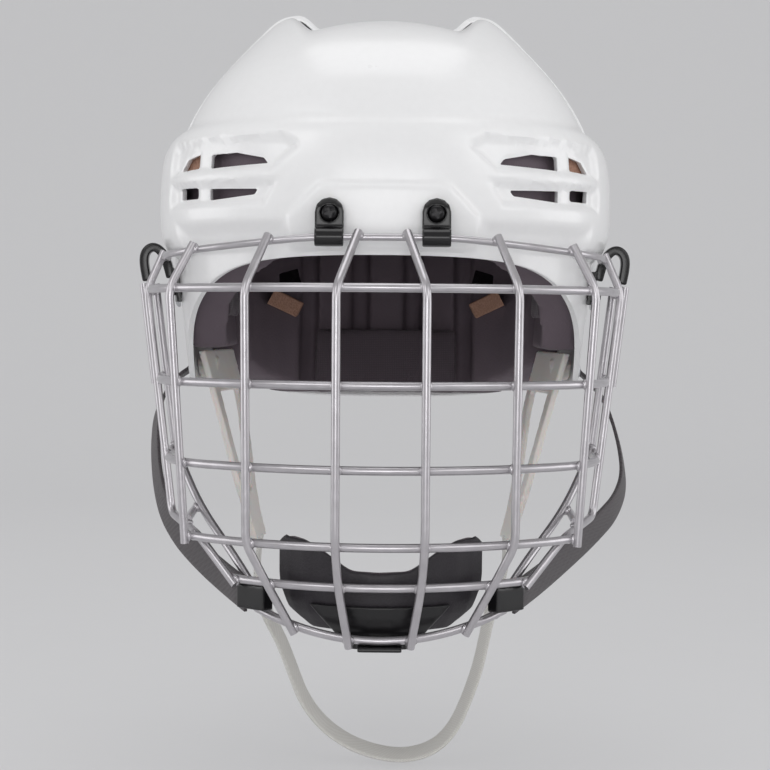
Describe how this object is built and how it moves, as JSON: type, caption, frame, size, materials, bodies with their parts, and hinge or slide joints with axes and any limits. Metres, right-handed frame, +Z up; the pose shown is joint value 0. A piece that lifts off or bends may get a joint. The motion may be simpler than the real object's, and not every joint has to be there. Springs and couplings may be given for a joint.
{
  "type": "ice hockey helmet with face cage",
  "caption": "Adjustable white ice hockey helmet in two shells with foam liner, hinged wire face cage, chin cup, ear guards and straps.",
  "frame": {"origin": "middle of the wearer's head at the height of the eyes", "axes": "+X to the wearer's left, the face looks along -Y, +Z up"},
  "size_m": [0.2301, 0.2774, 0.3515],
  "materials": {
    "shell": "glossy white injection moulded shell",
    "liner_foam": "matt dark moulded foam",
    "tan_foam": "matt tan foam tab",
    "comfort_foam": "soft dark comfort foam",
    "cage_wire": "grey gloss coated steel wire",
    "clip": "glossy black moulded plastic",
    "steel": "plated steel",
    "ear_guard": "translucent ivory moulded plastic",
    "chin_cup": "satin dark moulded cup",
    "webbing": "woven dark strap",
    "strap_hook": "satin black moulded hook",
    "snap": "satin black snap fastener",
    "chin_strap": "flexible white vinyl strap"
  },
  "bodies": {
    "front": {"brow_pad": "comfort_foam", "chin_strap": "chin_strap", "clip_nuts": "steel", "clip_screws": "steel", "crown_pad": "comfort_foam", "ear_guard_left": "ear_guard", "ear_guard_right": "ear_guard", "forehead_clip_left": "clip", "forehead_clip_right": "clip", "front_liner": "liner_foam", "front_shell": "shell", "guard_screws": "steel", "side_clip_left": "clip", "side_clip_right": "clip", "side_clip_screws": "steel", "size_nuts": "steel", "size_screws": "steel", "snap_stud_left": "snap", "snap_stud_right": "snap", "temple_pad_left": "comfort_foam", "temple_pad_right": "comfort_foam"},
    "rear": {"liner_tab_left": "tan_foam", "liner_tab_right": "tan_foam", "occipital_pad": "comfort_foam", "rear_liner": "liner_foam", "rear_shell": "shell"},
    "cage": {"cage_rear_rod_left": "cage_wire", "cage_rear_rod_right": "cage_wire", "cage_side_rod_inner_left": "cage_wire", "cage_side_rod_inner_right": "cage_wire", "cage_side_rod_outer_left": "cage_wire", "cage_side_rod_outer_right": "cage_wire", "cage_strut_left": "cage_wire", "cage_strut_right": "cage_wire", "cage_upright_edge_left": "cage_wire", "cage_upright_edge_right": "cage_wire", "cage_upright_inner_left": "cage_wire", "cage_upright_inner_right": "cage_wire", "cage_upright_middle_left": "cage_wire", "cage_upright_middle_right": "cage_wire", "cage_upright_outer_left": "cage_wire", "cage_upright_outer_right": "cage_wire", "cage_wire_bottom": "cage_wire", "cage_wire_brow": "cage_wire", "cage_wire_chin": "cage_wire", "cage_wire_eyes": "cage_wire", "cage_wire_mouth": "cage_wire", "cage_wire_nose": "cage_wire", "cage_wire_top": "cage_wire", "chin_band": "clip", "chin_cup": "chin_cup", "chin_cup_foam": "comfort_foam", "side_strap_left": "webbing", "side_strap_right": "webbing", "snap_cap_left": "snap", "snap_cap_right": "snap", "strap_pad_left": "strap_hook", "strap_pad_right": "strap_hook"}
  },
  "joints": [
    {"name": "size_adjust", "type": "slide", "parent": "front", "child": "rear", "axis": [0, 1, 0], "range_m": [0, 0.014]},
    {"name": "cage_hinge", "type": "hinge", "parent": "front", "child": "cage", "pos_m": [0, -0.113, 0.035], "axis": [-1, 0, 0], "range_deg": [0, 115]}
  ]
}
